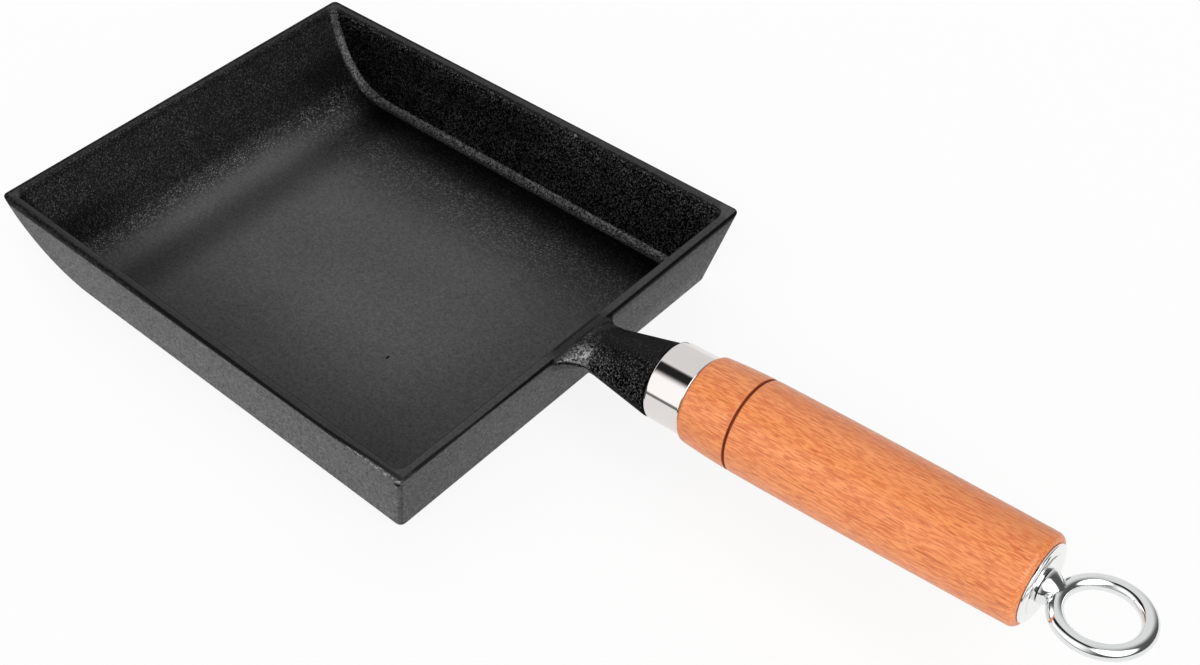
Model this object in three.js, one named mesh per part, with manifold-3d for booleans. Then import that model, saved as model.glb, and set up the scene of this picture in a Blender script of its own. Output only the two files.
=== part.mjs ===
// Rectangular cast-iron rolled-omelette pan with a turned beech handle.
// Millimetres, +Z up. The origin lies on the underside of the base, below the middle of the rim;
// +X points along the pan to the handle, and +Y across it.

import * as THREE from "three";
import { mergeVertices } from "three/addons/utils/BufferGeometryUtils.js";
import Module from "manifold-3d";

// Pan, outside
const RIM_LENGTH = 183;
const RIM_WIDTH = 150;
const PAN_HEIGHT = 30;
const HANDLE_WALL_RUN = 7.6;
const SIDE_WALL_RUN = 6.1;
const CORNER_RADIUS = 2.4;
const BASE_EDGE_RADIUS = 1.8;

// Pan, inside
const RIM_THICKNESS = 3.3;
const FLOOR_THICKNESS = 3.8;
const HANDLE_WALL_INNER_RUN = 7.4;
const SIDE_WALL_INNER_RUN = 6.2;
const FOOT_RADIUS = 2.6;

// Far end, which sweeps from the rim down to the floor as one long curve: how far it runs along the pan,
// how far it leans and drops at first, and how long it stays close to the floor
const FAR_RUN = 32;
const FAR_LEAN = 0.5;
const FAR_DROP = 14;
const FAR_REACH = 20;
const FAR_INNER_RUN = 34.6;
const FAR_INNER_LEAN = 6.6;
const FAR_INNER_DROP = 14;
const FAR_INNER_REACH = 20;

// Handle axis
const HANDLE_RISE_DEG = 3.6;
const AXIS_ABOVE_RIM = 1.6;

// Neck, cast in one with the pan
const NECK_LENGTH = 31.8;
const NECK_ROOT_WIDTH = 33;
const NECK_ROOT_DEPTH = 13.4;
const NECK_ROOT_EDGE = 2.5;
const NECK_ROOT_CURVE = 0.4;
const NECK_WAIST_AT = 10;
const NECK_WAIST_WIDTH = 16.4;
const NECK_WAIST_ABOVE = 7.4;
const NECK_WAIST_BELOW = 7.2;
const NECK_END_DIAMETER = 22.6;
const NECK_END_DROP = 1.1;
const NECK_END_RADIUS = 1.4;

// Ferrule
const FERRULE_DIAMETER = 23.9;
const FERRULE_LENGTH = 11.2;
const FERRULE_WALL = 1.1;
const FERRULE_EDGE_RADIUS = 0.5;

// Grip
const GRIP_LENGTH = 98.4;
const GRIP_FRONT_DIAMETER = 25.8;
const GRIP_BELLY_DIAMETER = 27.5;
const GRIP_BELLY_AT = 18;
const GRIP_TAIL_DIAMETER = 25.5;
const GRIP_FRONT_RADIUS = 0.8;
const GRIP_TAIL_RADIUS = 1.9;
const GROOVE_AT = 16;
const GROOVE_WIDTH = 1.1;
const GROOVE_DEPTH = 0.9;

// End cap
const CAP_DIAMETER = 21.6;
const CAP_THICKNESS = 1;
const CAP_LIP = 0.25;
const CAP_FACE_DIAMETER = 16.4;
const CAP_BOSS_DIAMETER = 15;
const CAP_BOSS_LENGTH = 2;

// Eye bolt
const ROD_DIAMETER = 6;
const THREAD_LENGTH = 14;
const EYE_HOLE_DIAMETER = 16.8;
const EYE_STOCK_DIAMETER = 4.1;
const EYE_COLLAR_DIAMETER = 9.4;
const EYE_STEM = 1.7;

// Clearances: between faces that meet, and around a rod or spigot in its hole
const SEAT_GAP = 0.2;
const FIT_GAP = 0.15;

// Facets
const ROUND_SIDES = 40;
const STOCK_SIDES = 12;
const CORNER_STEPS = 5;
const CURVE_STEPS = 12;
const OVERCUT = 1;

const wasm = await Module();
wasm.setup();

// A closed geometry as a solid for joining and cutting.
function solid(geometry) {
  const bare = geometry.index ? geometry.toNonIndexed() : geometry.clone();
  bare.deleteAttribute("normal");
  bare.deleteAttribute("uv");
  const merged = mergeVertices(bare, 1e-4);
  return new wasm.Manifold(
    new wasm.Mesh({
      numProp: 3,
      vertProperties: merged.attributes.position.array,
      triVerts: new Uint32Array(merged.index.array),
    }),
  );
}

// A solid as a geometry with flat facets.
function geometryOf(body) {
  const mesh = body.getMesh();
  const geometry = new THREE.BufferGeometry();
  geometry.setAttribute("position", new THREE.BufferAttribute(mesh.vertProperties, 3));
  geometry.setIndex(new THREE.BufferAttribute(mesh.triVerts, 1));
  const faceted = geometry.toNonIndexed();
  faceted.computeVertexNormals();
  return faceted;
}

// A skin over rings of equally many points, each ring running counter-clockwise seen from the last ring.
function skin(rings) {
  const count = rings[0].length;
  const points = rings.flat();
  const last = (rings.length - 1) * count;
  const triangles = [];
  for (let ring = 0; ring < rings.length - 1; ring++) {
    for (let i = 0; i < count; i++) {
      const a = ring * count + i;
      const b = ring * count + ((i + 1) % count);
      triangles.push(a, b, b + count, a, b + count, a + count);
    }
  }
  for (let i = 1; i < count - 1; i++) {
    triangles.push(0, i + 1, i);
    triangles.push(last, last + i, last + i + 1);
  }
  const geometry = new THREE.BufferGeometry().setFromPoints(points);
  geometry.setIndex(triangles);
  return geometry;
}

// A piece turned about the handle axis: its profile is a closed loop of (distance along the axis, radius).
function turned(profile) {
  const loop = [...profile, profile[0]].map(([along, radius]) => new THREE.Vector2(radius, along));
  return new THREE.LatheGeometry(loop, ROUND_SIDES).rotateZ(-Math.PI / 2);
}

// A cylinder along the handle axis.
function rod(start, end, diameter) {
  const geometry = new THREE.CylinderGeometry(diameter / 2, diameter / 2, end - start, ROUND_SIDES);
  return geometry.rotateZ(-Math.PI / 2).translate((start + end) / 2, 0, 0);
}

// Points of a rounded corner of a turned profile, from angle to angle about its centre.
function arc(along, radius, size, from, to) {
  const points = [];
  for (let i = 0; i <= CORNER_STEPS; i++) {
    const angle = from + ((to - from) * i) / CORNER_STEPS;
    points.push([along + size * Math.cos(angle), radius + size * Math.sin(angle)]);
  }
  return points;
}

// One level of a tray: a rectangle with round corners, counter-clockwise seen from above.
function level(farX, nearX, halfWidth, radius, z) {
  const outline = new THREE.Shape();
  outline.absarc(nearX - radius, -halfWidth + radius, radius, -Math.PI / 2, 0);
  outline.absarc(nearX - radius, halfWidth - radius, radius, 0, Math.PI / 2);
  outline.absarc(farX + radius, halfWidth - radius, radius, Math.PI / 2, Math.PI);
  outline.absarc(farX + radius, -halfWidth + radius, radius, Math.PI, (3 * Math.PI) / 2);
  const points = outline.extractPoints(CORNER_STEPS).shape;
  return points.map((p) => new THREE.Vector3(p.x, p.y, z));
}

// A tray form with leaning walls, a rounded foot and a far end that sweeps down to the floor.
function tray(size) {
  const depth = size.topZ - size.floorZ;
  const levels = [];
  for (let i = 0; i <= CORNER_STEPS; i++) {
    const angle = (i / CORNER_STEPS) * (Math.PI / 2);
    const rise = size.footRadius * (1 - Math.cos(angle));
    const inset = size.footRadius * (1 - Math.sin(angle));
    const lean = 1 - rise / depth;
    levels.push(
      level(
        size.farX,
        size.nearX - size.nearRun * lean - inset,
        size.halfWidth - size.sideRun * lean - inset,
        size.cornerRadius,
        size.floorZ + rise,
      ),
    );
  }
  levels.push(level(size.farX, size.nearX, size.halfWidth, size.cornerRadius, size.topZ));
  if (size.above > 0) {
    levels.push(
      level(size.farX, size.nearX, size.halfWidth, size.cornerRadius, size.topZ + size.above),
    );
  }

  // Side view of the part of the tray inside the far end's curve.
  const kept = new THREE.Shape();
  const top = size.topZ + size.above;
  kept.moveTo(size.farX, size.topZ);
  kept.bezierCurveTo(
    size.farX + size.farLean,
    size.topZ - size.farDrop,
    size.farX + size.farRun - size.farReach,
    size.floorZ,
    size.farX + size.farRun,
    size.floorZ,
  );
  kept.lineTo(size.nearX + OVERCUT, size.floorZ);
  kept.lineTo(size.nearX + OVERCUT, top);
  kept.lineTo(size.farX, top);
  const width = 2 * (size.halfWidth + OVERCUT);
  const slab = new THREE.ExtrudeGeometry(kept, {
    depth: width,
    bevelEnabled: false,
    curveSegments: CURVE_STEPS,
  });
  slab.rotateX(Math.PI / 2).translate(0, width / 2, 0);
  return solid(skin(levels)).intersect(solid(slab));
}

// Handle frame: on the axis above the middle of the handle-side rim, with +X along the handle.
const handle = new THREE.Group();
handle.position.set(RIM_LENGTH / 2, 0, PAN_HEIGHT + AXIS_ABOVE_RIM);
handle.rotation.y = -THREE.MathUtils.degToRad(HANDLE_RISE_DEG);
handle.updateMatrixWorld(true);

// Neck sections, from inside the handle wall to the end face. Each is an oval whose plane leans with the wall
// at the root and stands square to the handle axis at the end. At the root its upper half is squared off, so
// that the rim's flat top runs out on to the neck, and it is widest a little below the rim.
function neckRings() {
  const rings = [];
  const wallLean = HANDLE_WALL_RUN / PAN_HEIGHT;
  const rise = THREE.MathUtils.degToRad(HANDLE_RISE_DEG);
  const endX = NECK_LENGTH * Math.cos(rise);
  const endMiddle = AXIS_ABOVE_RIM + NECK_LENGTH * Math.sin(rise) - NECK_END_DROP;
  const waistMiddle = (NECK_WAIST_ABOVE - NECK_WAIST_BELOW) / 2;
  const waistHalfHeight = (NECK_WAIST_ABOVE + NECK_WAIST_BELOW) / 2;

  function ring(x, halfWidth, top, widest, bottom, curve, lean) {
    const points = [];
    for (let i = 0; i < ROUND_SIDES; i++) {
      const angle = (i / ROUND_SIDES) * 2 * Math.PI;
      const across = Math.cos(angle);
      const up = Math.sin(angle);
      const power = up > 0 ? curve : 1;
      const reach = up > 0 ? top - widest : bottom - widest;
      const y = halfWidth * Math.sign(across) * Math.abs(across) ** power;
      const z = widest + reach * Math.abs(up) ** power;
      points.push(new THREE.Vector3(RIM_LENGTH / 2 + x + lean(z - widest, z), y, PAN_HEIGHT + z));
    }
    return points;
  }

  const onWall = (up, z) => wallLean * z;
  rings.push(
    ring(
      -RIM_THICKNESS / 2,
      NECK_ROOT_WIDTH / 2,
      0,
      -NECK_ROOT_EDGE,
      -NECK_ROOT_DEPTH,
      NECK_ROOT_CURVE,
      onWall,
    ),
  );
  for (let i = 0; i <= CORNER_STEPS; i++) {
    const share = 1 - Math.cos((i / CORNER_STEPS) * (Math.PI / 2));
    const flare = 1 - Math.sin((i / CORNER_STEPS) * (Math.PI / 2));
    const climb = share * share * (3 - 2 * share);
    const halfWidth = NECK_WAIST_WIDTH / 2 + ((NECK_ROOT_WIDTH - NECK_WAIST_WIDTH) / 2) * flare;
    const top = NECK_WAIST_ABOVE * climb;
    const widest = waistMiddle * (1 - flare) - NECK_ROOT_EDGE * flare;
    const bottom = -NECK_WAIST_BELOW - (NECK_ROOT_DEPTH - NECK_WAIST_BELOW) * flare;
    const curve = 1 - (1 - NECK_ROOT_CURVE) * flare;
    const lean = (up, z) => onWall(up, z) * (1 - share);
    rings.push(ring(NECK_WAIST_AT * share, halfWidth, top, widest, bottom, curve, lean));
  }
  for (let i = 1; i <= CORNER_STEPS; i++) {
    const share = i / CORNER_STEPS;
    const x = NECK_WAIST_AT + (endX - NECK_END_RADIUS - NECK_WAIST_AT) * share;
    const halfWidth = NECK_WAIST_WIDTH / 2 + ((NECK_END_DIAMETER - NECK_WAIST_WIDTH) / 2) * share;
    const middle = waistMiddle + (endMiddle - waistMiddle) * share;
    const halfHeight = waistHalfHeight + (NECK_END_DIAMETER / 2 - waistHalfHeight) * share;
    const lean = (up) => -up * Math.sin(rise) * share;
    rings.push(ring(x, halfWidth, middle + halfHeight, middle, middle - halfHeight, 1, lean));
  }
  for (let i = 1; i <= CORNER_STEPS; i++) {
    const angle = (i / CORNER_STEPS) * (Math.PI / 2);
    const radius = NECK_END_DIAMETER / 2 - NECK_END_RADIUS * (1 - Math.cos(angle));
    const x = endX - NECK_END_RADIUS * (1 - Math.sin(angle));
    const lean = (up) => -up * Math.sin(rise);
    rings.push(ring(x, radius, endMiddle + radius, endMiddle, endMiddle - radius, 1, lean));
  }
  return rings;
}

// Pan body: the tray, hollowed out, with the neck and its threaded hole for the eye bolt.
function panBody() {
  const outside = tray({
    farX: -RIM_LENGTH / 2,
    nearX: RIM_LENGTH / 2,
    halfWidth: RIM_WIDTH / 2,
    floorZ: 0,
    topZ: PAN_HEIGHT,
    above: 0,
    nearRun: HANDLE_WALL_RUN,
    sideRun: SIDE_WALL_RUN,
    farRun: FAR_RUN,
    farLean: FAR_LEAN,
    farDrop: FAR_DROP,
    farReach: FAR_REACH,
    footRadius: BASE_EDGE_RADIUS,
    cornerRadius: CORNER_RADIUS,
  });
  const inside = tray({
    farX: -RIM_LENGTH / 2 + RIM_THICKNESS,
    nearX: RIM_LENGTH / 2 - RIM_THICKNESS,
    halfWidth: RIM_WIDTH / 2 - RIM_THICKNESS,
    floorZ: FLOOR_THICKNESS,
    topZ: PAN_HEIGHT,
    above: OVERCUT,
    nearRun: HANDLE_WALL_INNER_RUN,
    sideRun: SIDE_WALL_INNER_RUN,
    farRun: FAR_INNER_RUN,
    farLean: FAR_INNER_LEAN,
    farDrop: FAR_INNER_DROP,
    farReach: FAR_INNER_REACH,
    footRadius: FOOT_RADIUS,
    cornerRadius: FOOT_RADIUS,
  });
  const holeDiameter = ROD_DIAMETER + 2 * FIT_GAP;
  const hole = rod(NECK_LENGTH - THREAD_LENGTH, NECK_LENGTH + OVERCUT, holeDiameter);
  hole.applyMatrix4(handle.matrix);
  const neck = solid(skin(neckRings()));
  return geometryOf(outside.add(neck).subtract(inside).subtract(solid(hole)));
}

// Places along the handle axis, each piece seated on the one before it
const FERRULE_START = NECK_LENGTH + SEAT_GAP;
const FERRULE_END = FERRULE_START + FERRULE_LENGTH;
const GRIP_START = FERRULE_END + SEAT_GAP;
const GRIP_END = GRIP_START + GRIP_LENGTH;
const CAP_START = GRIP_END + SEAT_GAP;
const CAP_END = CAP_START + CAP_THICKNESS;
const BORE_RADIUS = ROD_DIAMETER / 2 + FIT_GAP;

// Ferrule: a polished sleeve with softened edges.
function ferrule() {
  const outer = FERRULE_DIAMETER / 2;
  const inner = outer - FERRULE_WALL;
  const soft = Math.min(FERRULE_EDGE_RADIUS, FERRULE_WALL / 2);
  return turned([
    [FERRULE_START, inner],
    ...arc(FERRULE_START + soft, outer - soft, soft, Math.PI, Math.PI / 2),
    ...arc(FERRULE_END - soft, outer - soft, soft, Math.PI / 2, 0),
    [FERRULE_END, inner],
  ]);
}

// Grip: turned beech with a spigot in the ferrule, a belly, one groove, a bore for the rod and a socket
// for the end cap's boss.
function grip() {
  const spigot = FERRULE_DIAMETER / 2 - FERRULE_WALL - FIT_GAP;
  const front = GRIP_FRONT_DIAMETER / 2;
  const belly = GRIP_BELLY_DIAMETER / 2;
  const tail = GRIP_TAIL_DIAMETER / 2;
  const soft = GRIP_FRONT_RADIUS;
  const round = GRIP_TAIL_RADIUS;
  const socket = CAP_BOSS_DIAMETER / 2 + FIT_GAP;
  const socketEnd = GRIP_END - CAP_BOSS_LENGTH - SEAT_GAP;

  // Radius of the grip's side at a place along it.
  function side(along) {
    if (along < GRIP_BELLY_AT) {
      const share = 1 - along / GRIP_BELLY_AT;
      return belly - (belly - front) * share * share;
    }
    const share = (along - GRIP_BELLY_AT) / (GRIP_LENGTH - GRIP_BELLY_AT);
    return belly - (belly - tail) * share * share * (1.5 - 0.5 * share);
  }

  const grooveFront = GROOVE_AT - GROOVE_WIDTH / 2;
  const grooveBack = GROOVE_AT + GROOVE_WIDTH / 2;
  const outline = [];
  outline.push([FERRULE_START + SEAT_GAP, BORE_RADIUS]);
  outline.push([FERRULE_START + SEAT_GAP, spigot]);
  outline.push([GRIP_START, spigot]);
  outline.push(...arc(GRIP_START + soft, side(soft) - soft, soft, Math.PI, Math.PI / 2));
  for (let i = 1; i < CORNER_STEPS; i++) {
    const along = soft + ((grooveFront - soft) * i) / CORNER_STEPS;
    outline.push([GRIP_START + along, side(along)]);
  }
  outline.push([GRIP_START + grooveFront, side(grooveFront)]);
  outline.push([GRIP_START + GROOVE_AT, side(GROOVE_AT) - GROOVE_DEPTH]);
  outline.push([GRIP_START + grooveBack, side(grooveBack)]);
  for (let i = 1; i < CURVE_STEPS; i++) {
    const along = grooveBack + ((GRIP_LENGTH - round - grooveBack) * i) / CURVE_STEPS;
    outline.push([GRIP_START + along, side(along)]);
  }
  outline.push(...arc(GRIP_END - round, tail - round, round, Math.PI / 2, 0));
  outline.push([GRIP_END, socket]);
  outline.push([socketEnd, socket]);
  outline.push([socketEnd, BORE_RADIUS]);
  return turned(outline);
}

// End cap: a polished disc whose rim domes up to a flat face, centred by its boss in the grip's tail.
function endCap() {
  const outer = CAP_DIAMETER / 2;
  const face = CAP_FACE_DIAMETER / 2;
  const boss = CAP_BOSS_DIAMETER / 2;
  const dome = CAP_THICKNESS - CAP_LIP;
  const outline = [];
  outline.push([CAP_START - CAP_BOSS_LENGTH, BORE_RADIUS]);
  outline.push([CAP_START - CAP_BOSS_LENGTH, boss]);
  outline.push([CAP_START, boss]);
  outline.push([CAP_START, outer]);
  for (let i = 0; i <= CORNER_STEPS; i++) {
    const angle = (i / CORNER_STEPS) * (Math.PI / 2);
    outline.push([CAP_END - dome * (1 - Math.sin(angle)), face + (outer - face) * Math.cos(angle)]);
  }
  outline.push([CAP_END, BORE_RADIUS]);
  return turned(outline);
}

// Eye bolt: a rod that screws into the neck, a collar that bears on the end cap, and a ring to hang it by.
function eyeBolt() {
  const stock = EYE_STOCK_DIAMETER / 2;
  const ringRadius = EYE_HOLE_DIAMETER / 2 + stock;
  const ringNear = CAP_END + EYE_STEM + stock;
  const tip = NECK_LENGTH - THREAD_LENGTH + SEAT_GAP;
  const ring = new THREE.TorusGeometry(ringRadius, stock, STOCK_SIDES, ROUND_SIDES);
  ring.translate(ringNear + ringRadius, 0, 0);
  const shank = solid(rod(tip, ringNear, ROD_DIAMETER));
  const collar = solid(rod(CAP_END + SEAT_GAP, ringNear, EYE_COLLAR_DIAMETER));
  return geometryOf(solid(ring).add(shank).add(collar));
}

const castIron = new THREE.MeshStandardMaterial({ color: 0x343435, roughness: 0.62, metalness: 0.35 });
const ferruleSteel = new THREE.MeshStandardMaterial({ color: 0xd8d8d6, roughness: 0.14, metalness: 1 });
const beech = new THREE.MeshStandardMaterial({ color: 0xd9844f, roughness: 0.52, metalness: 0 });
const capSteel = new THREE.MeshStandardMaterial({ color: 0xdcdcda, roughness: 0.12, metalness: 1 });
const eyeSteel = new THREE.MeshStandardMaterial({ color: 0xd2d3d4, roughness: 0.1, metalness: 1 });

function piece(name, geometry, material) {
  const mesh = new THREE.Mesh(geometry, material);
  mesh.name = name;
  return mesh;
}

handle.add(piece("ferrule", ferrule(), ferruleSteel));
handle.add(piece("grip", grip(), beech));
handle.add(piece("end_cap", endCap(), capSteel));
handle.add(piece("eye_bolt", eyeBolt(), eyeSteel));

const pan = new THREE.Group();
pan.add(piece("pan_body", panBody(), castIron));
pan.add(handle);

export default pan;
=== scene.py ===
from math import cos, hypot, pi, radians, sin
from types import SimpleNamespace

import bmesh
import bpy
from mathutils import Matrix, Vector
from mathutils.geometry import interpolate_bezier


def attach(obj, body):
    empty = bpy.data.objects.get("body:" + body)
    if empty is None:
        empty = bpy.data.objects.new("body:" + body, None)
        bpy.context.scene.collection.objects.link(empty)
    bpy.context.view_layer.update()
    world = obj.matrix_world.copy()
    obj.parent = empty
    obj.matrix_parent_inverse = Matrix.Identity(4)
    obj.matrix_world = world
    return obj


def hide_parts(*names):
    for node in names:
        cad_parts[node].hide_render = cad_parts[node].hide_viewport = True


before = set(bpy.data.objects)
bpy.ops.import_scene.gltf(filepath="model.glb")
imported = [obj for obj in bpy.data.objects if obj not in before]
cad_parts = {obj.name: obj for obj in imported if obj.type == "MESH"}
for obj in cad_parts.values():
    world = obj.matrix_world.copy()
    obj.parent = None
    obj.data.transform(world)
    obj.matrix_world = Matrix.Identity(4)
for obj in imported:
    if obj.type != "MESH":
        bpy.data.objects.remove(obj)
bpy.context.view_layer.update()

MM = 0.001

# Pan sizes in millimetres; a rounding is its size and its number of segments
RIM_LENGTH = 183
RIM_WIDTH = 150
PAN_HEIGHT = 30
RIM_THICKNESS = 3.3
FAR_RIM_THICKNESS = 2.3
FLOOR_THICKNESS = 3.8
OUTER_SPARE = 0.35
WELL_SPARE = 2
RIM_OUTER_ROUND = (0.8, 4)
RIM_INNER_ROUND = (1.4, 4)

# How far the walls lean in, the far end's curve (run, lean, drop, reach) and the lower edges' rounding
OUTER = dict(near_run=7.2, side_run=5.65, far=(32, 0.5, 14, 20), edge=(2.0, 6))
INNER = dict(near_run=7.4, side_run=6.2, far=(35.6, 6.9, 14, 20.5), edge=(2.7, 6))

# Neck sizes in millimetres
RISE = radians(3.6)
AXIS_ABOVE_RIM = 1.6
AXIS_HEIGHT = PAN_HEIGHT + AXIS_ABOVE_RIM
NECK_LENGTH = 31.05
NECK_ROOT_WIDTH = 33
NECK_ROOT_DEPTH = 13.4
NECK_ROOT_EDGE = 2.5
NECK_ROOT_CURVE = 0.4
NECK_ROOT_TOP = -0.03
NECK_ROOT_LAP = 0.05
NECK_WAIST_AT = 10
NECK_WAIST_WIDTH = 16.4
NECK_WAIST_ABOVE = 7.4
NECK_WAIST_BELOW = 7.2
NECK_END_DIAMETER = 22.6
NECK_END_DROP = 1.1
NECK_END_ROUND = 1.4
CREST_START = 2.4
CREST_HALF_WIDTH = 10.5
THREAD_DEPTH = 14
THREAD_SPARE = 2

# Handle sizes in millimetres, measured along the handle from the rim
FERRULE_START, FERRULE_END = 31.2, 43.2
FERRULE_RADIUS = 11.95
FERRULE_BORE = 10.85
FERRULE_FRONT_ROUND, FERRULE_BACK_ROUND = (1.0, 6), (0.6, 4)
SPIGOT_RADIUS = 10.7
SPIGOT_GAP = 0.2
GRIP_START, GRIP_END = 43.4, 141.8
GRIP_FRONT, GRIP_BELLY, GRIP_TAIL = 12.9, 13.75, 12.75
GRIP_FRONT_ROUND, GRIP_TAIL_ROUND = (0.9, 5), (1.9, 8)
BELLY_AT = 18
TAIL_LENGTH = 4
GROOVE_AT = 16
GROOVE_WIDTH = 0.85
GROOVE_FLOOR_WIDTH = 0.5
GROOVE_DEPTH = 0.9
GROOVE_ROUND = (0.25, 3)
BORE_RADIUS = 3.15
SOCKET_RADIUS = 7.65
SOCKET_END = 139.6
SOCKET_ROUND = (0.2, 2)
CAP_START, CAP_END = 142, 143
CAP_RADIUS = 10.8
CAP_FACE_RADIUS = 8.2
CAP_FACE_ROUND = (0.1, 2)
CAP_LIP = 0.25
CAP_STEP = 0.22
BOSS_RADIUS = 7.5
BOSS_LENGTH = 2
ROD_RADIUS = 3
ROD_TIP = 18
COLLAR_GAP = 0.2
COLLAR_LENGTH = 1
COLLAR_RADIUS = 4.7
COLLAR_TAPER = 0.1
SHANK_RADIUS, SHANK_TIP_RADIUS = 3.1, 1.9
SHANK_LAP = 0.6
RING_RADIUS = 10.45
STOCK_RADIUS = 2.05
RING_AT = 157.2
RING_JOIN_ROUND = (0.45, 3)

# How finely the curves are divided
SIDES = 96
SHANK_SIDES = 48
STOCK_SIDES = 32
FAR_CURVE_POINTS = 28
ROOT_STEPS, NECK_STEPS, NECK_END_STEPS = 14, 10, 5
GRIP_FRONT_POINTS = (3, 6, 9, 12)
GRIP_STEPS = 19
CAP_STEPS = 8

# Limits for merging points and for telling edges apart
MERGE_DISTANCE = 1e-4
THIN_DISTANCE = 1e-5
SLACK = 1e-3
LEVEL_NORMAL = 0.99
HOLLOW_ANGLE = -0.25
SHARP_ANGLE = radians(40)

HANDLE = Matrix.Translation((RIM_LENGTH / 2, 0, AXIS_HEIGHT)) @ Matrix.Rotation(-RISE, 4, "Y")


# Shapes


def rounded(bm, edges, size, segments):
    bmesh.ops.bevel(bm, geom=edges, offset=size, offset_type="OFFSET", segments=segments, profile=0.5,
                    affect="EDGES", material=-1, clamp_overlap=False)


def merged(bm):
    bmesh.ops.remove_doubles(bm, verts=bm.verts, dist=MERGE_DISTANCE)


def faced_out(bm):
    bmesh.ops.recalc_face_normals(bm, faces=bm.faces)


def settle(bm):
    merged(bm)
    bmesh.ops.dissolve_degenerate(bm, dist=THIN_DISTANCE, edges=bm.edges)
    faced_out(bm)


def block(bm):
    mesh = bpy.data.meshes.new("block")
    bm.to_mesh(mesh)
    bm.free()
    obj = bpy.data.objects.new("block", mesh)
    bpy.context.scene.collection.objects.link(obj)
    return obj


def worked(base, operation, shape):
    """The base shape with another shape cut out of it or joined to it."""
    blocks = [block(base), block(shape)]
    step = blocks[0].modifiers.new("step", "BOOLEAN")
    step.operation = operation
    step.solver = "EXACT"
    step.object = blocks[1]
    result = bmesh.new()
    result.from_object(blocks[0], bpy.context.evaluated_depsgraph_get())
    for obj in blocks:
        bpy.data.meshes.remove(obj.data)
    settle(result)
    return result


def tray_block(far_x, near_x, half_width, floor_z, top_z, above, form):
    """A tray's form as a solid: leaning walls, rounded lower edges and a far end that sweeps to the floor."""
    run, lean, drop, reach = form["far"]
    foot_x = near_x - form["near_run"]
    outline = list(interpolate_bezier(
        Vector((far_x, 0, top_z)),
        Vector((far_x + lean, 0, top_z - drop)),
        Vector((far_x + run - reach, 0, floor_z)),
        Vector((far_x + run, 0, floor_z)),
        FAR_CURVE_POINTS,
    ))
    outline.append(Vector((foot_x, 0, floor_z)))
    outline.append(Vector((near_x, 0, top_z)))
    if above:
        outline.append(Vector((near_x, 0, top_z + above)))
        outline.append(Vector((far_x, 0, top_z + above)))
    bm = bmesh.new()
    side = bm.faces.new([bm.verts.new(p - Vector((0, half_width, 0))) for p in outline])
    grown = bmesh.ops.extrude_face_region(bm, geom=[side])["geom"]
    other = [v for v in grown if isinstance(v, bmesh.types.BMVert)]
    bmesh.ops.translate(bm, verts=other, vec=(0, 2 * half_width, 0))
    slope = form["side_run"] / (top_z - floor_z)
    for sign in (-1, 1):
        lean_in = Matrix.Identity(4)
        lean_in[1][2] = sign * slope
        lean_in[1][3] = -sign * slope * top_z
        bmesh.ops.transform(bm, matrix=lean_in, verts=[v for v in bm.verts if v.co.y * sign > 0])
    faced_out(bm)
    edges = []
    for edge in bm.edges:
        a, b = (v.co for v in edge.verts)
        along_side = a.y * b.y > 0
        at_foot = min(a.x, b.x) > foot_x - SLACK and max(a.z, b.z) < floor_z + SLACK
        if at_foot or (along_side and min(a.z, b.z) < top_z + above - SLACK):
            edges.append(edge)
    rounded(bm, edges, *form["edge"])
    return bm


def ease(share):
    share = min(max(share, 0), 1)
    return share * share * (3 - 2 * share)


def neck_section(bm, x, half_width, top, widest, bottom, curve, lean):
    """One oval of the neck, its upper half squared off where curve is under 1, with a crest at the root."""
    lead = ease((x + CREST_START) / (NECK_WAIST_AT + CREST_START)) - ease(x / NECK_WAIST_AT)
    crest = NECK_WAIST_ABOVE * lead
    ring = bmesh.ops.create_circle(bm, cap_ends=False, radius=1, segments=SIDES)["verts"]
    for v in ring:
        across, up = v.co.x, v.co.y
        power = curve if up > 0 else 1
        reach = top - widest if up > 0 else bottom - widest
        y = half_width * abs(across) ** power * (1 if across > 0 else -1)
        z = widest + reach * abs(up) ** power
        if up > 0:
            z += crest * max(0, 1 - (y / CREST_HALF_WIDTH) ** 2) ** 2
        v.co = (RIM_LENGTH / 2 + x + lean(z - widest, z), y, PAN_HEIGHT + z)
    return list(dict.fromkeys(e for v in ring for e in v.link_edges))


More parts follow.
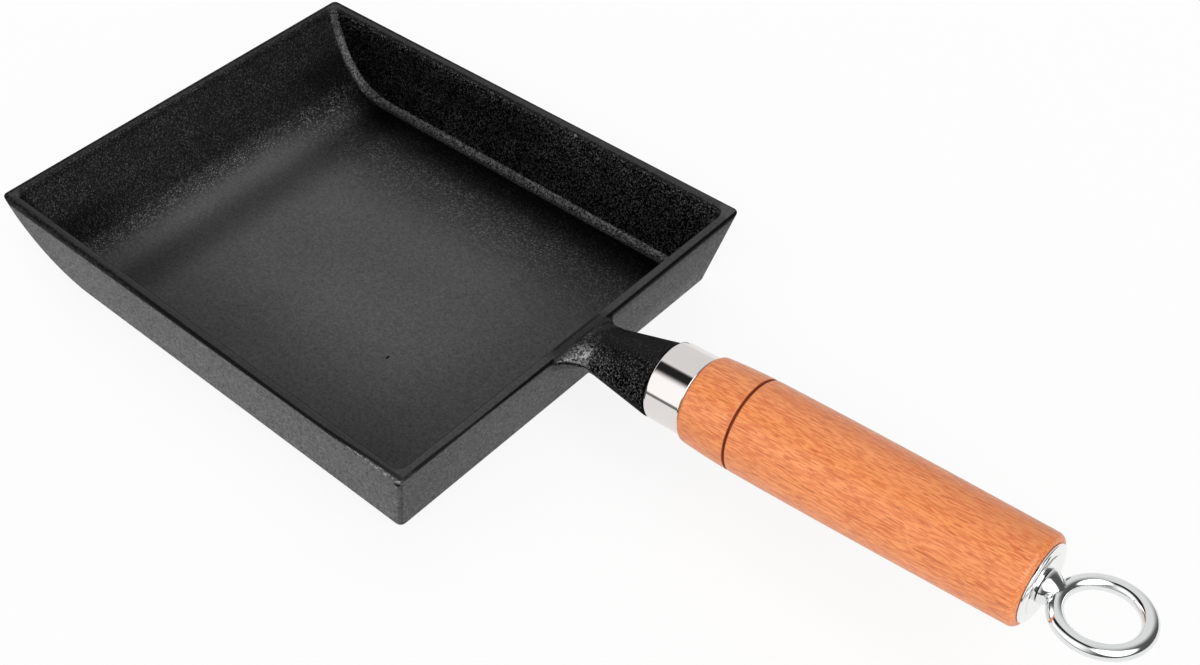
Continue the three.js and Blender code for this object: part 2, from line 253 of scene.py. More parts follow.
def neck_block():
    """The neck: flared and squared at the root, narrow at the waist, round at the end."""
    wall_lean = OUTER["near_run"] / PAN_HEIGHT
    end_x = NECK_LENGTH * cos(RISE)
    end_middle = AXIS_ABOVE_RIM + NECK_LENGTH * sin(RISE) - NECK_END_DROP
    end_radius = NECK_END_DIAMETER / 2
    waist_middle = (NECK_WAIST_ABOVE - NECK_WAIST_BELOW) / 2
    waist_half = (NECK_WAIST_ABOVE + NECK_WAIST_BELOW) / 2
    bm = bmesh.new()
    loops = [
        neck_section(bm, -CREST_START, NECK_ROOT_WIDTH / 2, NECK_ROOT_TOP, -NECK_ROOT_EDGE, -NECK_ROOT_DEPTH,
                     NECK_ROOT_CURVE, lambda up, z: wall_lean * z),
    ]
    for i in range(ROOT_STEPS + 1):
        share = 1 - cos(i / ROOT_STEPS * pi / 2)
        flare = 1 - sin(i / ROOT_STEPS * pi / 2)
        loops.append(neck_section(
            bm,
            NECK_WAIST_AT * share - NECK_ROOT_LAP * flare,
            NECK_WAIST_WIDTH / 2 + (NECK_ROOT_WIDTH - NECK_WAIST_WIDTH) / 2 * flare,
            NECK_ROOT_TOP + (NECK_WAIST_ABOVE - NECK_ROOT_TOP) * ease(share),
            waist_middle * (1 - flare) - NECK_ROOT_EDGE * flare,
            -NECK_WAIST_BELOW - (NECK_ROOT_DEPTH - NECK_WAIST_BELOW) * flare,
            1 - (1 - NECK_ROOT_CURVE) * flare,
            lambda up, z: wall_lean * z * (1 - share),
        ))
    for i in range(1, NECK_STEPS + 1):
        share = i / NECK_STEPS
        middle = waist_middle + (end_middle - waist_middle) * share
        half = waist_half + (end_radius - waist_half) * share
        loops.append(neck_section(
            bm,
            NECK_WAIST_AT + (end_x - NECK_END_ROUND - NECK_WAIST_AT) * share,
            NECK_WAIST_WIDTH / 2 + (end_radius - NECK_WAIST_WIDTH / 2) * share,
            middle + half, middle, middle - half, 1,
            lambda up, z: -up * sin(RISE) * share,
        ))
    for i in range(1, NECK_END_STEPS + 1):
        turn = i / NECK_END_STEPS * pi / 2
        radius = end_radius - NECK_END_ROUND * (1 - cos(turn))
        loops.append(neck_section(
            bm,
            end_x - NECK_END_ROUND * (1 - sin(turn)),
            radius, end_middle + radius, end_middle, end_middle - radius, 1,
            lambda up, z: -up * sin(RISE),
        ))
    for a, b in zip(loops, loops[1:]):
        bmesh.ops.bridge_loops(bm, edges=a + b)
    for loop in (loops[0], loops[-1]):
        bmesh.ops.edgeloop_fill(bm, edges=loop)
    faced_out(bm)
    return bm


def rim_edges(tray, inner):
    """The rim's inner or outer edges, told apart by half the thickness of its thinnest side."""
    half = FAR_RIM_THICKNESS / 2
    edges = []
    for edge in tray.edges:
        if min(v.co.z for v in edge.verts) < PAN_HEIGHT - SLACK or len(edge.link_faces) != 2:
            continue
        if all(face.normal.z > LEVEL_NORMAL for face in edge.link_faces):
            continue
        middle = (edge.verts[0].co + edge.verts[1].co) / 2
        in_well = abs(middle.x) < RIM_LENGTH / 2 - half and abs(middle.y) < RIM_WIDTH / 2 - half
        if in_well == inner:
            edges.append(edge)
    return edges


def pan_shape():
    outside = tray_block(
        -RIM_LENGTH / 2 - OUTER_SPARE,
        RIM_LENGTH / 2 + OUTER_SPARE,
        RIM_WIDTH / 2 + OUTER_SPARE,
        0, PAN_HEIGHT, 0, OUTER,
    )
    inside = tray_block(
        -RIM_LENGTH / 2 + FAR_RIM_THICKNESS,
        RIM_LENGTH / 2 - RIM_THICKNESS,
        RIM_WIDTH / 2 - RIM_THICKNESS,
        FLOOR_THICKNESS, PAN_HEIGHT, WELL_SPARE, INNER,
    )
    tray = worked(outside, "DIFFERENCE", inside)
    rounded(tray, rim_edges(tray, False), *RIM_OUTER_ROUND)
    rounded(tray, rim_edges(tray, True), *RIM_INNER_ROUND)
    settle(tray)
    hole = bmesh.new()
    middle = NECK_LENGTH + (THREAD_SPARE - THREAD_DEPTH) / 2
    place = HANDLE @ Matrix.Translation((middle, 0, 0)) @ Matrix.Rotation(pi / 2, 4, "Y")
    bmesh.ops.create_cone(hole, cap_ends=True, segments=STOCK_SIDES, radius1=BORE_RADIUS, radius2=BORE_RADIUS,
                          depth=THREAD_DEPTH + THREAD_SPARE, matrix=place)
    return worked(worked(tray, "UNION", neck_block()), "DIFFERENCE", hole)


def spun(profile, closed, sides):
    """A profile of (along the handle axis, radius), turned about the axis."""
    bm = bmesh.new()
    points = [bm.verts.new((along, 0, radius)) for along, radius in profile]
    ends = points[1:] + points[:1] if closed else points[1:]
    wire = [bm.edges.new(pair) for pair in zip(points, ends)]
    bmesh.ops.spin(bm, geom=points + wire, cent=(0, 0, 0), axis=(1, 0, 0), angle=2 * pi,
                   steps=sides, use_merge=True)
    return bm


def turned(profile, rounds):
    """A closed profile turned about the handle axis, with some corners (along, radius, rounding) rounded."""
    bm = spun(profile, True, SIDES)
    merged(bm)
    faced_out(bm)
    for along, radius, rounding in rounds:
        edges = []
        for edge in bm.edges:
            off = [(v.co.x - along, hypot(v.co.y, v.co.z) - radius) for v in edge.verts]
            if all(abs(value) < SLACK for pair in off for value in pair):
                edges.append(edge)
        rounded(bm, edges, *rounding)
    return bm


def ferrule_shape():
    return turned(
        [
            (FERRULE_START, FERRULE_BORE),
            (FERRULE_START, FERRULE_RADIUS),
            (FERRULE_END, FERRULE_RADIUS),
            (FERRULE_END, FERRULE_BORE),
        ],
        [
            (FERRULE_START, FERRULE_RADIUS, FERRULE_FRONT_ROUND),
            (FERRULE_END, FERRULE_RADIUS, FERRULE_BACK_ROUND),
        ],
    )


def grip_side(along):
    """Radius of the grip at a place along it."""
    if along < BELLY_AT:
        share = 1 - along / BELLY_AT
        return GRIP_BELLY - (GRIP_BELLY - GRIP_FRONT) * share * share
    share = (along - BELLY_AT) / (GRIP_END - GRIP_START - BELLY_AT)
    return GRIP_BELLY - (GRIP_BELLY - GRIP_TAIL) * share * share * (1.5 - 0.5 * share)


def grip_shape():
    length = GRIP_END - GRIP_START
    front, back = GROOVE_AT - GROOVE_WIDTH / 2, GROOVE_AT + GROOVE_WIDTH / 2
    profile = [
        (FERRULE_START + SPIGOT_GAP, BORE_RADIUS),
        (FERRULE_START + SPIGOT_GAP, SPIGOT_RADIUS),
        (GRIP_START, SPIGOT_RADIUS),
        (GRIP_START, grip_side(0)),
    ]
    for along in (*GRIP_FRONT_POINTS, front):
        profile.append((GRIP_START + along, grip_side(along)))
    for along in (GROOVE_AT - GROOVE_FLOOR_WIDTH / 2, GROOVE_AT + GROOVE_FLOOR_WIDTH / 2):
        profile.append((GRIP_START + along, grip_side(GROOVE_AT) - GROOVE_DEPTH))
    for i in range(GRIP_STEPS + 1):
        along = back + (length - TAIL_LENGTH - back) * i / GRIP_STEPS
        profile.append((GRIP_START + along, grip_side(along)))
    profile += [
        (GRIP_END, GRIP_TAIL),
        (GRIP_END, SOCKET_RADIUS),
        (SOCKET_END, SOCKET_RADIUS),
        (SOCKET_END, BORE_RADIUS),
    ]
    rounds = [
        (GRIP_START, grip_side(0), GRIP_FRONT_ROUND),
        (GRIP_END, GRIP_TAIL, GRIP_TAIL_ROUND),
        (GRIP_START + front, grip_side(front), GROOVE_ROUND),
        (GRIP_START + back, grip_side(back), GROOVE_ROUND),
        (GRIP_END, SOCKET_RADIUS, SOCKET_ROUND),
    ]
    return turned(profile, rounds)


def cap_shape():
    profile = [
        (CAP_START - BOSS_LENGTH, BORE_RADIUS),
        (CAP_START - BOSS_LENGTH, BOSS_RADIUS),
        (CAP_START, BOSS_RADIUS),
        (CAP_START, CAP_RADIUS),
    ]
    shoulder = CAP_END - CAP_STEP
    dome = shoulder - CAP_START - CAP_LIP
    for i in range(CAP_STEPS):
        turn = i / CAP_STEPS * pi / 2
        radius = CAP_FACE_RADIUS + (CAP_RADIUS - CAP_FACE_RADIUS) * cos(turn)
        profile.append((shoulder - dome * (1 - sin(turn)), radius))
    profile += [(shoulder, CAP_FACE_RADIUS), (CAP_END, CAP_FACE_RADIUS), (CAP_END, BORE_RADIUS)]
    return turned(profile, [(CAP_END, CAP_FACE_RADIUS, CAP_FACE_ROUND)])


def eye_shape():
    ring = bmesh.new()
    section = Matrix.Translation((RING_RADIUS, 0, 0)) @ Matrix.Rotation(pi / 2, 4, "X")
    bmesh.ops.create_circle(ring, cap_ends=False, radius=STOCK_RADIUS, segments=STOCK_SIDES, matrix=section)
    bmesh.ops.spin(ring, geom=ring.verts[:] + ring.edges[:], cent=(0, 0, 0), axis=(0, 0, 1), angle=2 * pi,
                   steps=SIDES, use_merge=True)
    merged(ring)
    faced_out(ring)
    bmesh.ops.translate(ring, verts=ring.verts, vec=(RING_AT, 0, 0))
    near = RING_AT - RING_RADIUS
    collar = CAP_END + COLLAR_GAP
    shank = spun([
        (ROD_TIP, 0),
        (ROD_TIP, ROD_RADIUS),
        (collar, ROD_RADIUS),
        (collar, COLLAR_RADIUS),
        (collar + COLLAR_LENGTH, COLLAR_RADIUS - COLLAR_TAPER),
        (near - SHANK_LAP, SHANK_RADIUS),
        (near + SHANK_LAP, SHANK_TIP_RADIUS),
        (near + SHANK_LAP, 0),
    ], False, SHANK_SIDES)
    settle(shank)
    eye = worked(ring, "UNION", shank)
    hollows = []
    for edge in eye.edges:
        if len(edge.link_faces) == 2 and edge.calc_face_angle_signed() < HOLLOW_ANGLE:
            if all(v.co.x > collar + COLLAR_LENGTH / 2 for v in edge.verts):
                hollows.append(edge)
    rounded(eye, hollows, *RING_JOIN_ROUND)
    settle(eye)
    return eye


# Finishes


class Tone:
    """A shader value that can be used in sums."""

    def __init__(self, finish, socket):
        self.finish = finish
        self.socket = socket

    def other(self, name):
        """Another output of the same node."""
        return Tone(self.finish, self.socket.node.outputs[name])

    def sum(self, operation, first, second):
        return self.finish.add("Math", {"operation": operation}, {0: first, 1: second})

    def __add__(self, other):
        return self.sum("ADD", self, other)

    __radd__ = __add__

    def __sub__(self, other):
        return self.sum("SUBTRACT", self, other)

    def __rsub__(self, other):
        return self.sum("SUBTRACT", other, self)

    def __mul__(self, other):
        return self.sum("MULTIPLY", self, other)

    __rmul__ = __mul__

    def __truediv__(self, other):
        return self.sum("DIVIDE", self, other)

    def __rtruediv__(self, other):
        return self.sum("DIVIDE", other, self)

    def __neg__(self):
        return 0.0 - self

    def __abs__(self):
        return self.sum("ABSOLUTE", self, 0.0)


class Finish:
    """A node tree with one method that adds any node."""

    def __init__(self, owner):
        owner.use_nodes = True
        self.tree = owner.node_tree
        self.tree.nodes.clear()

    def add(self, kind, settings=None, sockets=None, out=0):
        node = self.tree.nodes.new("ShaderNode" + kind)
        for key, value in (settings or {}).items():
            setattr(node, key, value)
        for key, value in (sockets or {}).items():
            if isinstance(value, Tone):
                self.tree.links.new(value.socket, node.inputs[key])
            else:
                node.inputs[key].default_value = value
        return Tone(self, node.outputs[out] if node.outputs else None)

    def noise(self, vector, scale, detail, rough):
        return self.add("TexNoise", {},
                        {"Vector": vector, "Scale": scale, "Detail": detail, "Roughness": rough})

    def step(self, value, low, high):
        """0 below low, 1 above high, smooth between."""
        return self.add("MapRange", {"interpolation_type": "SMOOTHSTEP"},
                        {"Value": value, "From Min": low, "From Max": high})

    def under(self, value, low, high):
        """1 below low, 0 above high, smooth between."""
        return 1 - self.step(value, low, high)

    def band(self, value, rise, fall):
        """1 between a rise and a fall, each given as (low, high)."""
        return self.step(value, *rise) * self.under(value, *fall)

    def spot(self, across, along, middle, size):
        """1 inside a small oval mark, 0 outside it."""
        off = [(way - at) / half for way, at, half in zip((across, along), middle, size)]
        return self.under(off[0] * off[0] + off[1] * off[1], 0.4, 1.0)

    def over(self, base, mask, top):
        """The base with another value laid over it where the mask is 1."""
        return base * (1 - mask) + top * mask

    def least(self, first, second):
        return self.add("Math", {"operation": "MINIMUM"}, {0: first, 1: second})

    def most(self, first, second):
        return self.add("Math", {"operation": "MAXIMUM"}, {0: first, 1: second})

    def along(self, vector, direction):
        """How far a vector points along a direction."""
        return self.add("VectorMath", {"operation": "DOT_PRODUCT"}, {0: vector, 1: direction}, "Value")

    def blend(self, share, first, second):
        """A colour between two, on the Mix node's factor and its colour sockets."""
        return self.add("Mix", {"data_type": "RGBA"}, {0: share, 6: first, 7: second}, 2)

    def grey(self, value):
        return self.add("CombineColor", {}, {0: value, 1: value, 2: value})

    def place(self):
        return self.add("TexCoord", out="Object")

    def parts(self, vector):
        first = self.add("SeparateXYZ", {}, {0: vector})
        return [first.other(axis) for axis in "XYZ"]

    def bump(self, height, strength, distance):
        return self.add("Bump", {}, {"Strength": strength, "Distance": distance, "Height": height})

    def principled(self, **sockets):
        words = {key.replace("_", " "): value for key, value in sockets.items()}
        self.cover(self.add("BsdfPrincipled", {}, words), "Material")

    def cover(self, shader, kind):
        self.add("Output" + kind, {}, {"Surface": shader})


def colour(*rgb):
    """A screen colour of 0 to 255 as light."""
    light = [(c / 255 / 12.92 if c <= 10 else ((c / 255 + 0.055) / 1.055) ** 2.4) for c in rgb]
    return (*light, 1)


# Share of the light that each surface of the casting returns
FLOOR_SHINE = 0.1
WALL_SHINE = 0.043
OUTER_SHINE = 0.168
RIM_SHINE = 0.033
# Painted shade on the inner rounding under the rim
UNDER_RIM_SHADE = 0.022
BEVEL_SHINE = 0.14
EDGE_SHINE = 0.012
NECK_SHINE = 0.021
# Painted shade in the crevices by the ferrule and under the neck
CREVICE_SHADE = 0.008
# Wear together with a painted highlight on the fillets
WORN_AND_HIGHLIGHT_SHINE = 0.12
CHIP_SHINE = 0.3
LIP_SHINE = 0.025

# The finish takes the rim's outer edge this far outside the rim's size, in millimetres
EDGE_SPARE = 0.3


def iron_surfaces(f):
    """Where a point of the casting is, in millimetres, and how much it belongs to each surface."""
    place = f.place()
    x, y, z = [part / MM for part in f.parts(place)]
    nx, ny, nz = f.parts(f.add("TexCoord", out="Normal"))
    out = x - RIM_LENGTH / 2
    along = out * cos(RISE) + (z - AXIS_HEIGHT) * sin(RISE)

    # Floor, walls, outside and neck
    level = f.step(nz, 0.78, 0.94)
    outside = f.under(nz, -0.03, 0.03)
    web_under = f.under(nz, -0.34, -0.20) * f.under(out, 7.0, 11.5)
    neck = f.step(out, 0.2, 2.0) * (1 - web_under)
    neck_end = f.step(along, 29.8, 30.5)
    sideways = f.most(abs(ny), -nx)
    wall = f.step(sideways, 0.8, 0.93)

    # Rim
    to_end = RIM_LENGTH / 2 + EDGE_SPARE - abs(x)
    to_side = RIM_WIDTH / 2 + EDGE_SPARE - abs(y)
    to_edge = f.least(to_end, to_side)
    inner_round = f.step(to_edge, 1.8, 2.5) * f.under(nz, 0.80, 0.95) * f.step(f.most(-ny, nx), 0.1, 0.3)
    rim = f.step(z, 29.0, 29.6) * (1 - neck) * (1 - inner_round)
    near_side = f.step(-y, 68, 71)
    inside = (1 - outside) * (1 - neck) * (1 - rim)

    # Fillets of the well
    fillet = f.band(sideways, (0.12, 0.75), (0.88, 0.95)) * inside * f.under(z, 24, 28)
    core = f.band(sideways, (0.26, 0.40), (0.66, 0.82)) * f.step(z, 8, 14)

    # Where the neck meets the rim: wear with a painted highlight on the root fillet, a painted highlight on
    # the crest, and painted shade in the seat, landing and crease
    root = f.step(abs(y), 3.5, 6.0) * f.band(out, (0.0, 2.5), (8.0, 10.0))
    root = root * (0.88 + 0.12 * f.step(out, 2.5, 5.5))
    root = root * f.step(z, 28.8, 30.0) * (1 - 0.7 * f.step(y, -1, 1))
    seat = f.band(nz, (-0.34, -0.14), (-0.08, 0.06)) * f.band(out, (0.3, 1.5), (7.0, 11.5))
    seat = seat * f.step(abs(y), 6, 8)
    crest = f.step(nz, 0.5, 0.8) * f.under(out, 2.0, 9.5) * f.under(abs(y), 4, 8)
    landing = f.step(out, -3.1, -2.3) * f.under(abs(y), 9, 15)
    crease = f.band(out, (-3.7, -3.2), (-2.4, -1.8)) * f.under(abs(y), 8.5, 11.5)
    return SimpleNamespace(
        place=place, x=x, y=y, z=z, nx=nx, ny=ny, nz=nz, out=out,
        level=level, outside=outside, inside=inside, wall=wall, neck=neck, neck_end=neck_end,
        to_end=to_end, to_side=to_side, to_edge=to_edge,
        inner_round=inner_round, rim=rim, near_side=near_side, fillet=fillet, core=core,
        root=root, seat=seat, crest=crest, landing=landing, crease=crease,
    )


def iron_grain(f, at):
    """Sandy grain of the casting, and the surfaces that were cast and left rough."""
    sand = f.noise(at.place, 2300.0, 2.0, 0.6)
    lumps = f.noise(at.place, 1200.0, 2.0, 0.5)
    fine = f.noise(at.place, 3800.0, 1.0, 0.5)
    cloud = f.noise(at.place, 30.0, 3.0, 0.5)
    patchy = f.noise(at.place, 140.0, 2.0, 0.5)
    to_grain = f.add("TexVoronoi", {}, {"Vector": at.place, "Scale": 1800.0}, "Distance")
    luck = f.parts(to_grain.other("Color"))[0]
    grains = f.under(to_grain, 0.15, 0.68) * (0.3 + 1.2 * luck * luck)
    grains = grains * (0.75 + 0.5 * f.step(patchy, 0.30, 0.70))
    cast = f.under(at.nz, 0.87, 0.975) * at.inside + (1 - 0.8 * f.step(at.nz, 0.82, 0.93)) * at.neck
    rough_floor = at.level * at.inside * f.step(at.y, 22, 48)
    return SimpleNamespace(
        sand=sand, lumps=lumps, fine=fine, cloud=cloud, to_grain=to_grain, luck=luck, grains=grains,
        cast=cast, rough_floor=rough_floor,
    )


def rim_line(f, at, grain):
    """Dark line along the outer edge of the rim, and the bevel outside it on the near side, where wear shows.
    """
    x, y, z = at.x, at.y, at.z
    handle_end = f.step(x, 85, 90)
    width = (1.3 - 0.0066 * x + 0.0025 * f.step(x, 80, 90) * (y + RIM_WIDTH / 2)) * (0.55 + 0.9 * grain.lumps)
    width = width + 0.6 * handle_end * f.under(y, -65, -45)
    foot = 27.2 + 0.018 * x - 1.5 * handle_end * f.step(y, -50, 0) + 0.4 * at.near_side
    to_side = at.to_side - 1.3 * at.near_side * f.step(x, 55, 88)
    past_bevel = f.step(to_side, -0.6, -0.2)
    web = f.step(x, 80, 85) * f.under(abs(y + 0.8), 11.2, 12.2)
    line = f.under(f.least(at.to_end, to_side) / width, 0.6, 1.0) * past_bevel * f.step(z - foot, 0, 1.4)
    return line * (1 - web) * (1 - at.neck), at.near_side * (1 - past_bevel) * at.rim


def iron_marks(f, at, grain, bevelled):
    """Casting pits, chipped edges, the bright inner lip and the fillets' wear and painted highlight."""
    x, y, z = at.x, at.y, at.z
    pits = f.spot(x, y, (36.0, -26.3), (0.5, 1.0)) + 0.6 * f.spot(x, y, (61.6, -42.4), (0.4, 0.4))
    pits = pits * at.level * at.inside + f.spot(x, z, (90.1, 28.1), (1.0, 1.1)) * at.near_side
    nick = f.spot(x, z, (27.9, 29.0), (0.7, 0.7)) * f.step(y, 69, 71)
    chips = f.most(0.6 * bevelled * f.step(grain.lumps, 0.50, 0.60), 0.5 * nick)
    lip = f.step(at.to_edge, 2.0, 2.6) * f.step(z, 28.0, 28.8) * f.step(f.most(at.ny, -at.nx), 0.15, 0.4)
    # Painted highlight along the fillets, brighter at the far ramp's bend and split into two lines higher up.
    bend = f.band(z, (6, 10), (19, 24)) * f.step(-x, 55, 62)
    fillet = at.fillet * (1.0 + 0.55 * bend) * (1 - 0.9 * at.core * (1 - 0.6 * bend))
    return SimpleNamespace(
        pits=f.least(pits, 1.0), chips=chips, lip=lip * (1 - at.neck), worn_and_highlight=f.most(fillet, at.root),
    )


def well_shine(f, at):
    """The level floor, with painted shade and reflections darkening it towards its borders and where the far
    ramp begins, and the steep walls with painted shade by slope and height.
    """
    x, y, z = at.x, at.y, at.z
    # Painted shade and reflections: the floor darkens towards the walls and where the far ramp begins, and
    # lightens towards the handle end's near corner.
    painted_floor_shade = (0.96 - 0.42 * f.step(abs(y), 16, 60)) * (1 - 0.34 * f.step(x, 24, 75))
    painted_floor_shade = painted_floor_shade * (1 - 0.38 * f.band(-x, (38, 51), (55, 64)))
    painted_floor_shade = painted_floor_shade * (1 + 0.16 * f.step(x, 45, 75) * f.step(-y, 25, 48))
    painted_floor_shade = painted_floor_shade * (1 - 0.14 * f.step(y, 12, 40)) * (1 - 0.34 * f.step(y, 46, 66))
    # Painted shade: walls and ramp darker where they slope less and near the ramp's sides, paler near the
    # top, darker high on the far wall's far half.
    ends = 1 - 0.5 * f.step(abs(y), 34, 55) * f.step(at.nz, 0.55, 0.68)
    steep = WALL_SHINE * (0.88 + 0.2 * f.step(z, 21, 27)) * (1 - 0.38 * f.step(at.nz, 0.50, 0.70)) * ends
    shaded = at.wall * f.step(y, 0, 20) * f.step(z, 16, 24) * f.under(x, 0, 30)
    return FLOOR_SHINE * at.level * painted_floor_shade + (steep - 0.024 * at.wall) * (1 - 0.45 * shaded) * (1 - at.level)


def outer_shine(f, at):
    """The paler ground on the outside, with painted light brightest on the near wall, painted shade on the
    rounded corner, and the handle's wall darker high on its near half and paler low on its far half.
    """
    x, y, z = at.x, at.y, at.z
    # Painted light on faces turned to the near side, painted shade on the rounded near corner at the handle
    # end.
    near_face = f.step(-at.ny, 0.5, 0.8)
    corner = f.step(f.least(at.nx, -at.ny), 0.25, 0.5)
    end_wall = f.step(x, 80, 84)
    # The handle's wall darker high on its near half and paler low on its far half.
    handle_wall_tone = 1 - 0.2 * end_wall * f.step(y, -40, 0) * f.step(z, 22.5, 26.5)
    handle_wall_tone = handle_wall_tone * (1 + 0.3 * end_wall * f.step(y, 15, 45) * f.under(z, 4, 14))
    return handle_wall_tone * ((OUTER_SHINE - 0.0002 * x) * (1 + 0.0008 * y) + 0.042 * near_face) * (1 - 0.3 * corner)


def rim_shine(f, at):
    """The rim's top, with painted light giving each side its own brightness and painted shade where the neck
    runs into it.
    """
    # Painted light: each side of the rim has its own brightness; painted shade darkens the landing and crease
    # by the neck.
    side = f.most(0.018 * at.near_side, 0.04 * f.step(at.x, 84, 88))
    side = side + 0.030 * f.step(at.y, 68, 71) + 0.014 * f.step(-at.x, 86, 89)
    return RIM_SHINE + side - 0.034 * at.landing - 0.030 * at.crease


def neck_shine(f, at):
    """The neck, with painted light and shade: flanks paler near the root and darker towards the ferrule, a
    painted highlight on the crest at the root, and painted shade underneath.
    """
    flank = f.under(at.nz, 0.7, 0.9)
    shine = NECK_SHINE + (0.013 - 0.018 * f.step(at.out, 4.5, 26.5)) * flank + 0.045 * at.crest
    # Painted shade on the neck's underside.
    return f.most(shine - 0.014 * f.step(-at.nz, 0.0, 0.35), 0.004)


def iron_shine(f, at, grain, line, bevelled, marks):
    """How much light the casting returns, surface over surface, then its grain and marks."""
    # Painted shade on the inner rounding just under the rim.
    under_rim_shade = at.inner_round * f.step(at.z, 27.0, 27.8)
    shine = well_shine(f, at)
    shine = f.over(shine, at.outside, outer_shine(f, at))
    shine = f.over(shine, at.rim, rim_shine(f, at))
    shine = f.over(shine, at.neck, neck_shine(f, at))
    shine = f.over(shine, under_rim_shade, UNDER_RIM_SHADE + 0.014 * f.step(-at.x, 84, 87))
    shine = f.over(shine, bevelled, BEVEL_SHINE)
    shine = f.over(shine, line, EDGE_SHINE + 0.026 * f.step(-at.x, 0, 50) * grain.luck * grain.luck)
    # Painted shade in the crevices at the neck's end by the ferrule and under the neck where it meets the
    # wall.
    shine = f.over(shine, f.most(at.neck_end, at.seat), CREVICE_SHADE)

    shine = shine * (1 + 0.3 * (grain.cloud - 0.5))
    mottled = at.outside * (1 - at.neck) + 0.4 * at.level * at.inside + 0.4 * at.rim
    mottle = 0.7 * (grain.luck - 0.5) + 1.8 * (grain.lumps - 0.5) + 0.7 * (grain.sand - 0.5)
    shine = shine * (1 + mottled * mottle)
    sparkle = (2.2 + 2.6 * at.neck + 6.8 * at.wall) * grain.grains
    shine = shine * (1 + grain.cast * (sparkle - 0.45 - 0.2 * at.neck - 0.5 * at.wall))
    shine = shine * (1 + grain.rough_floor * (1.4 * grain.grains - 0.40))

    shine = shine * (1 - 0.9 * marks.pits) + CHIP_SHINE * marks.chips + LIP_SHINE * marks.lip
    rubbed = f.step(grain.sand * 0.5 + grain.lumps * 0.5, 0.40, 0.62)
    # The fillets' wear with their painted highlight, brightest on the neck's root fillet.
    return shine + (WORN_AND_HIGHLIGHT_SHINE + 0.3 * at.root) * marks.worn_and_highlight * rubbed


def iron_finish():
    """Black casting: smooth floor, grainy walls, paler ground outside, fillets with wear and painted
    highlights, a dark rim edge, and painted light and shade over its surfaces.
    """
    material = bpy.data.materials.new("seasoned_iron")
    f = Finish(material)
    at = iron_surfaces(f)
    grain = iron_grain(f, at)
    line, bevelled = rim_line(f, at, grain)
    marks = iron_marks(f, at, grain, bevelled)
    floor = at.level * at.inside
    height = (grain.sand + grain.lumps) * (0.06 + 0.4 * grain.cast + 0.2 * marks.worn_and_highlight - 0.05 * floor)
    height = height + (0.35 * grain.cast + 0.06 * grain.rough_floor) * (1 - grain.to_grain)
    height = height + 0.25 * grain.fine * at.outside
    f.principled(
        Base_Color=f.grey(iron_shine(f, at, grain, line, bevelled, marks)),
        Metallic=1.0,
        Roughness=0.46 + 0.1 * (grain.sand - 0.5) + 0.06 * at.outside - 0.17 * floor,
        Normal=f.bump(height, 1.0, 0.0002),
        Specular_Tint=(0.5, 0.5, 0.5, 1),
    )
    return material


def chrome_finish(name, tint, rough):
    material = bpy.data.materials.new(name)
    f = Finish(material)
    place = f.place()
    wipe = f.noise(place, 160.0, 2.0, 0.5)
    speck = f.noise(place, 2200.0, 1.0, 0.5)
    f.principled(
        Base_Color=f.blend(wipe, (*[c * 0.95 for c in tint], 1), (*tint, 1)),
        Metallic=1.0,
        Roughness=rough + 0.05 * (wipe - 0.5) + 0.03 * (speck - 0.5),
    )
    return material


def beech_finish():
    """Lacquered wood with its fibres along the handle and a dark groove."""
    material = bpy.data.materials.new("lacquered_beech")
    f = Finish(material)
    axis = f.add("Mapping", {"vector_type": "TEXTURE"},
                 {"Vector": f.place(), "Location": HANDLE.translation * MM, "Rotation": (0, -RISE, 0)})

    def drawn_out(scale, detail, rough):
        return f.noise(f.add("Mapping", {}, {"Vector": axis, "Scale": scale}), 1.0, detail, rough)

    flecks = drawn_out((200, 2800, 2800), 2.0, 0.6)
    streaks = drawn_out((320, 2100, 2100), 2.0, 0.5)
    fibres = drawn_out((40, 900, 900), 3.0, 0.55)
    bands = drawn_out((10, 190, 70), 2.0, 0.5)
    along = f.parts(axis)[0] / MM
    groove = f.under(abs(along - (GRIP_START + GROOVE_AT)), 0.35, 0.6)
    wood = f.blend(f.step(bands, 0.35, 0.68), colour(230, 140, 80), colour(242, 154, 94))
    wood = f.blend(f.step(streaks, 0.42, 0.60) * 0.8, wood, colour(210, 104, 54))
    wood = f.blend(f.under(fibres, 0.42, 0.62) * 0.35, wood, colour(226, 138, 76))
    wood = f.blend(f.step(flecks, 0.56, 0.68) * 0.75, wood, colour(180, 84, 38))
    wood = f.blend(groove, wood, colour(140, 62, 22))
    f.principled(
        Base_Color=wood,
        Roughness=0.42 + 0.15 * (fibres - 0.5) + 0.2 * groove,
        Normal=f.bump(fibres * 0.5 - flecks, 0.35, 0.00012),
        Coat_Weight=0.15,
        Coat_Roughness=0.25,
    )
    return material


# Pieces


def piece(name, shape, body, finish):
    bmesh.ops.scale(shape, vec=(MM, MM, MM), verts=shape.verts)
    for face in shape.faces:
        face.smooth = True
    mesh = bpy.data.meshes.new(name)
    shape.to_mesh(mesh)
    shape.free()
    mesh.set_sharp_from_angle(angle=SHARP_ANGLE)
    mesh.materials.append(finish)
    obj = bpy.data.objects.new(name + "_look", mesh)
    bpy.context.scene.collection.objects.link(obj)
    even = obj.modifiers.new("even_shading", "WEIGHTED_NORMAL")
    even.keep_sharp = True
    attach(obj, body)
    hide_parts(name)


def along_handle(shape):
    bmesh.ops.transform(shape, matrix=HANDLE, verts=shape.verts)
    return shape


piece("pan_body", pan_shape(), "pan", iron_finish())
piece("ferrule", along_handle(ferrule_shape()), "pan",
      chrome_finish("ferrule_polish", (0.78, 0.742, 0.725), 0.08))
piece("grip", along_handle(grip_shape()), "pan", beech_finish())
piece("end_cap", along_handle(cap_shape()), "cap",
      chrome_finish("cap_polish", (0.88, 0.88, 0.87), 0.12))
piece("eye_bolt", along_handle(eye_shape()), "eye",
      chrome_finish("eye_polish", (0.82, 0.83, 0.83), 0.09))


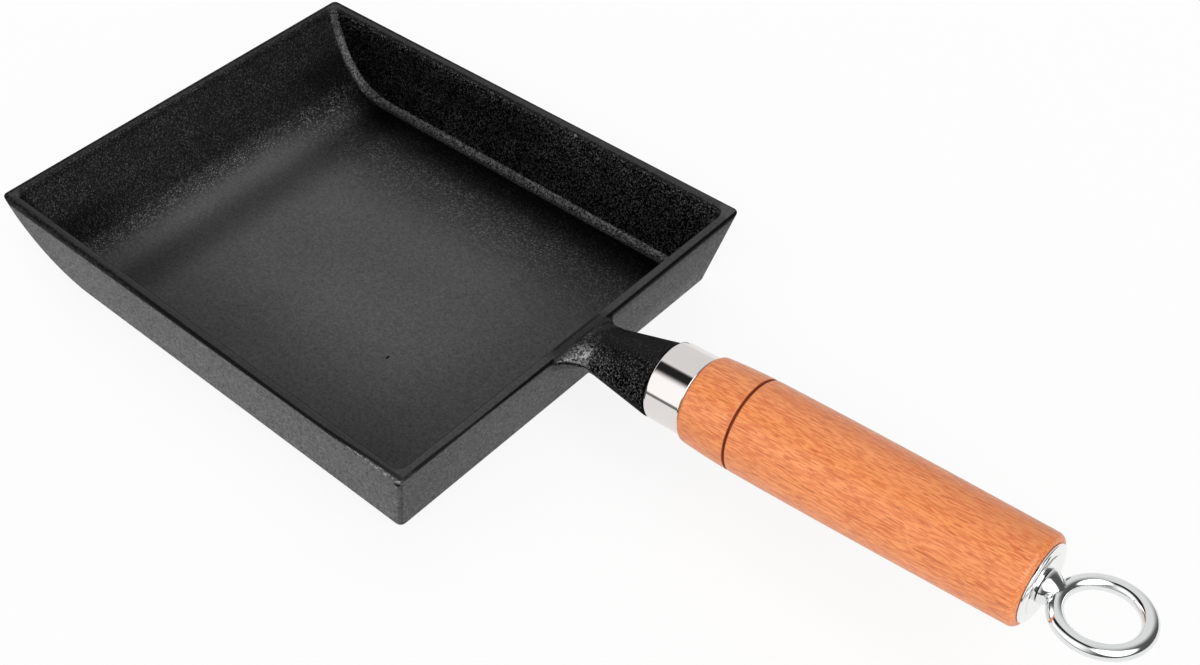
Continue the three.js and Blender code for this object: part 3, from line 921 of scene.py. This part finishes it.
# Studio

WHITE = (1, 1, 1, 1)
FLOOR_HALF_SIZE = 4
FLOOR_TONE = (0.9, 0.9, 0.9, 1)
FLOOR_GLOW = 0.85
FLOOR_MIRROR_EDGE = (-0.142, -0.132)
SEAM_WAY = (0, 0.951, 0.309)
KEY_WAY = (0.62, -0.36, 0.70)
KEY_STRENGTH = 3.0

# The photo's camera: optical centre left of the picture's middle, place in metres, and its three directions
PHOTO_WIDTH = 1200
PHOTO_SHIFT = 200
SENSOR_WIDTH = 36
FOCAL_LENGTH = 48.57
CAMERA_CLIP = (0.01, 50)
CAMERA_AT = (0.3016, -0.2620, 0.3593)
CAMERA_RIGHT = (0.70837, 0.70395, -0.05171)
CAMERA_UP = (-0.46571, 0.52117, 0.71518)
CAMERA_BACK = (0.5304, -0.4825, 0.6970)


def floor_piece():
    """A pale floor, clear from below, that reflections see only up to an edge on the near side."""
    bm = bmesh.new()
    bmesh.ops.create_grid(bm, x_segments=1, y_segments=1, size=FLOOR_HALF_SIZE)
    mesh = bpy.data.meshes.new("floor")
    bm.to_mesh(mesh)
    bm.free()
    obj = bpy.data.objects.new("floor", mesh)
    bpy.context.scene.collection.objects.link(obj)
    material = bpy.data.materials.new("pale_floor")
    f = Finish(material)
    seen = f.add("LightPath", out="Is Camera Ray")
    mirrored = seen.other("Is Glossy Ray")
    matt = f.add("BsdfDiffuse", {}, {"Color": FLOOR_TONE})
    white = f.add("Emission", {}, {"Color": WHITE, "Strength": 1.0})
    top = f.add("MixShader", {}, {0: FLOOR_GLOW * f.most(seen, mirrored), 1: matt, 2: white})
    below = f.add("NewGeometry", out="Backfacing")
    past_edge = mirrored * f.under(f.parts(f.place())[1], *FLOOR_MIRROR_EDGE)
    clear = f.add("BsdfTransparent")
    f.cover(f.add("MixShader", {}, {0: f.most(below, past_edge), 1: top, 2: clear}), "Material")
    mesh.materials.append(material)


def studio_world():
    """Pale light from the left with a dark seam and skirting, a key light, and white for the camera."""
    world = bpy.data.worlds.new("studio")
    bpy.context.scene.world = world
    f = Finish(world)
    seen = f.add("LightPath", out="Is Camera Ray")
    way = f.add("TexCoord", out="Generated")
    x, y, z = f.parts(way)
    wall = f.step(-x, -0.5, 0.25) * (0.8 + 0.45 * f.step(-y, -0.1, 0.3))
    seam = f.band(f.along(way, SEAM_WAY), (-0.44, -0.15), (0.13, 0.27)) * f.step(z, 0.2, 0.4)
    skirting = f.band(z, (-0.40, -0.34), (-0.16, -0.10)) * f.under(y, -0.2, 0.1)
    key = f.step(f.along(way, KEY_WAY), 0.78, 0.93)
    light = (0.1 + 0.95 * wall) * (1 - 0.985 * seam) * (1 - 0.85 * skirting) + KEY_STRENGTH * key
    soft = f.add("Background", {}, {"Color": f.grey(light), "Strength": 1.0})
    white = f.add("Background", {}, {"Color": WHITE, "Strength": 1.0})
    f.cover(f.add("MixShader", {}, {0: seen, 1: soft, 2: white}), "World")


def photo_camera():
    data = bpy.data.cameras.new("camera")
    data.sensor_width = SENSOR_WIDTH
    data.lens = FOCAL_LENGTH
    data.shift_x = PHOTO_SHIFT / PHOTO_WIDTH
    data.clip_start, data.clip_end = CAMERA_CLIP
    obj = bpy.data.objects.new("camera", data)
    turn = Matrix((CAMERA_RIGHT, CAMERA_UP, CAMERA_BACK)).transposed().to_4x4()
    obj.matrix_world = Matrix.Translation(CAMERA_AT) @ turn
    bpy.context.scene.collection.objects.link(obj)
    bpy.context.scene.camera = obj


floor_piece()
studio_world()
photo_camera()
bpy.context.scene.view_settings.view_transform = "Standard"

bpy.context.view_layer.update()
